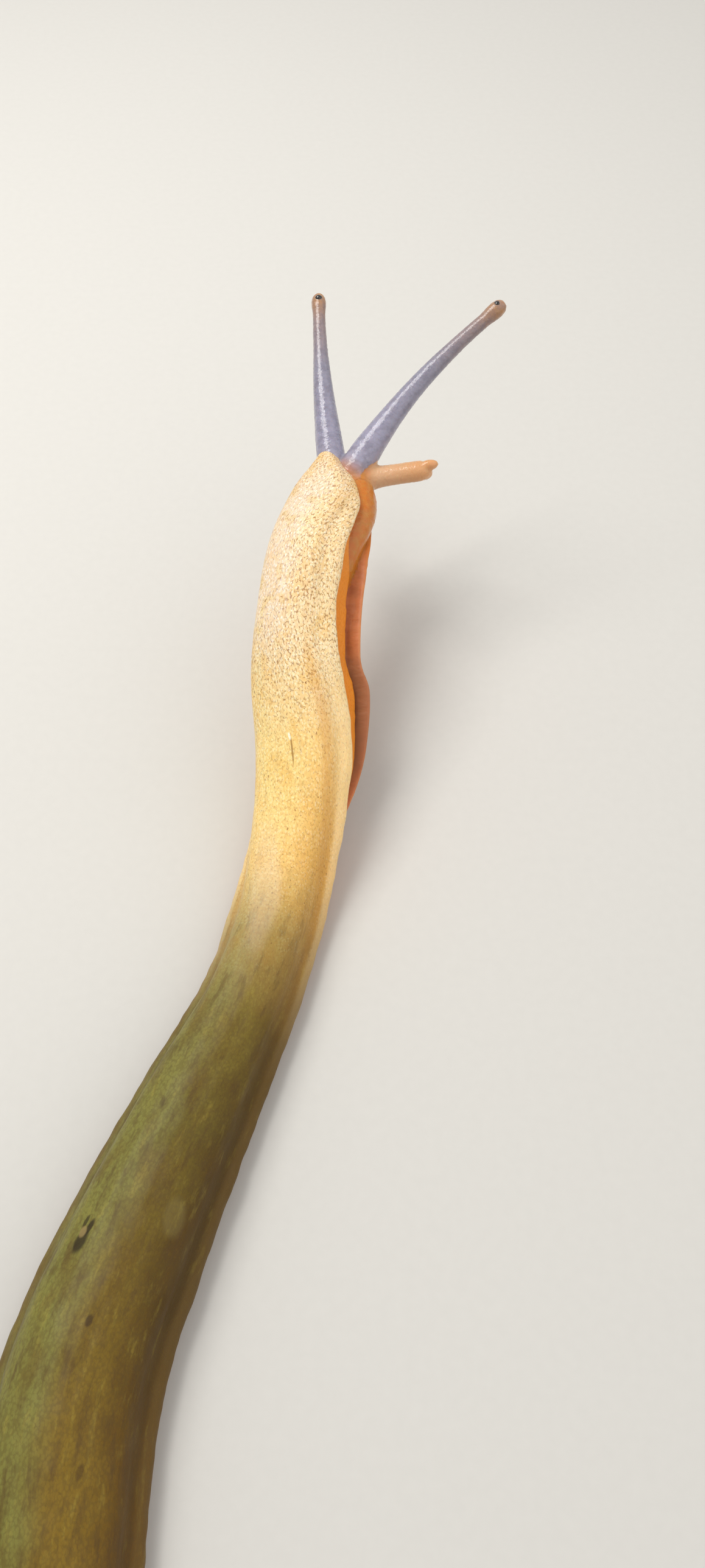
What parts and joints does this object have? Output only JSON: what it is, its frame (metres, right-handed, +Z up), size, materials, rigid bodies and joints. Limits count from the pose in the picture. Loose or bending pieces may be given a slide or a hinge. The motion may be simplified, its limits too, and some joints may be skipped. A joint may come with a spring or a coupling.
{
  "type": "leatherleaf slug",
  "caption": "Life-size land slug crawling with its narrow front lifted and turned, with a leathery mantle, slim foot, long eye feelers and short forked lower feelers.",
  "frame": {"origin": "on the flat sole under the middle of the body, on the floor", "axes": "+Y the way the slug crawls, +X its right-hand side, +Z up"},
  "size_m": [0.0428, 0.1545, 0.0281],
  "materials": {
    "mantle": "moist leathery skin, ochre yellow with fine pale and dark grains",
    "foot": "soft wet flesh, salmon",
    "head": "soft wet flesh, orange",
    "feeler": "wet translucent flesh, grey lilac",
    "eye": "glossy black"
  },
  "bodies": {
    "root": {"mantle_tail": "mantle", "mantle_rear": "mantle", "mantle_middle": "mantle", "mantle_front": "mantle", "mantle_hood": "mantle", "foot_tail": "foot", "foot_rear": "foot", "foot_middle": "foot", "foot_front": "foot", "head": "head", "upper_tentacle_left_base": "feeler", "upper_tentacle_left_tip": "feeler", "upper_tentacle_right_base": "feeler", "upper_tentacle_right_tip": "feeler", "lower_tentacle_left": "feeler", "lower_tentacle_right": "feeler", "eye_left": "eye", "eye_right": "eye"}
  },
  "joints": []
}
